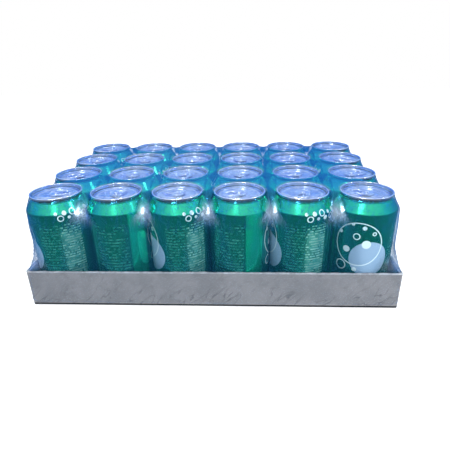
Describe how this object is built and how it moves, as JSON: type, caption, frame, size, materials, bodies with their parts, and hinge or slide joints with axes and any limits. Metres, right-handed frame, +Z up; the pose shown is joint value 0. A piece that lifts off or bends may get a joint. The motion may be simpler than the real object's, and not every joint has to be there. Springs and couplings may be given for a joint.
{
  "type": "shrink-wrapped tray of drink cans",
  "caption": "Low grey cardboard tray of green aluminium drink cans with ring-pull ends, wrapped tightly in clear shrink film.",
  "frame": {"origin": "centre of the underside, on the surface that the tray stands on", "axes": "+X along the long side of the tray, +Z up; the front long side faces -Y"},
  "size_m": [0.4028, 0.27, 0.1252],
  "materials": {
    "can_print": "gloss",
    "can_end": "satin",
    "cardboard": "matte",
    "film": "gloss"
  },
  "bodies": {
    "root": {"can_body_r1c1": "can_print", "can_body_r1c2": "can_print", "can_body_r1c3": "can_print", "can_body_r1c4": "can_print", "can_body_r1c5": "can_print", "can_body_r1c6": "can_print", "can_body_r2c1": "can_print", "can_body_r2c2": "can_print", "can_body_r2c3": "can_print", "can_body_r2c4": "can_print", "can_body_r2c5": "can_print", "can_body_r2c6": "can_print", "can_body_r3c1": "can_print", "can_body_r3c2": "can_print", "can_body_r3c3": "can_print", "can_body_r3c4": "can_print", "can_body_r3c5": "can_print", "can_body_r3c6": "can_print", "can_body_r4c1": "can_print", "can_body_r4c2": "can_print", "can_body_r4c3": "can_print", "can_body_r4c4": "can_print", "can_body_r4c5": "can_print", "can_body_r4c6": "can_print", "can_end_r1c1": "can_end", "can_end_r1c2": "can_end", "can_end_r1c3": "can_end", "can_end_r1c4": "can_end", "can_end_r1c5": "can_end", "can_end_r1c6": "can_end", "can_end_r2c1": "can_end", "can_end_r2c2": "can_end", "can_end_r2c3": "can_end", "can_end_r2c4": "can_end", "can_end_r2c5": "can_end", "can_end_r2c6": "can_end", "can_end_r3c1": "can_end", "can_end_r3c2": "can_end", "can_end_r3c3": "can_end", "can_end_r3c4": "can_end", "can_end_r3c5": "can_end", "can_end_r3c6": "can_end", "can_end_r4c1": "can_end", "can_end_r4c2": "can_end", "can_end_r4c3": "can_end", "can_end_r4c4": "can_end", "can_end_r4c5": "can_end", "can_end_r4c6": "can_end", "tray": "cardboard", "film_hood": "film", "film_base": "film"}
  },
  "joints": []
}
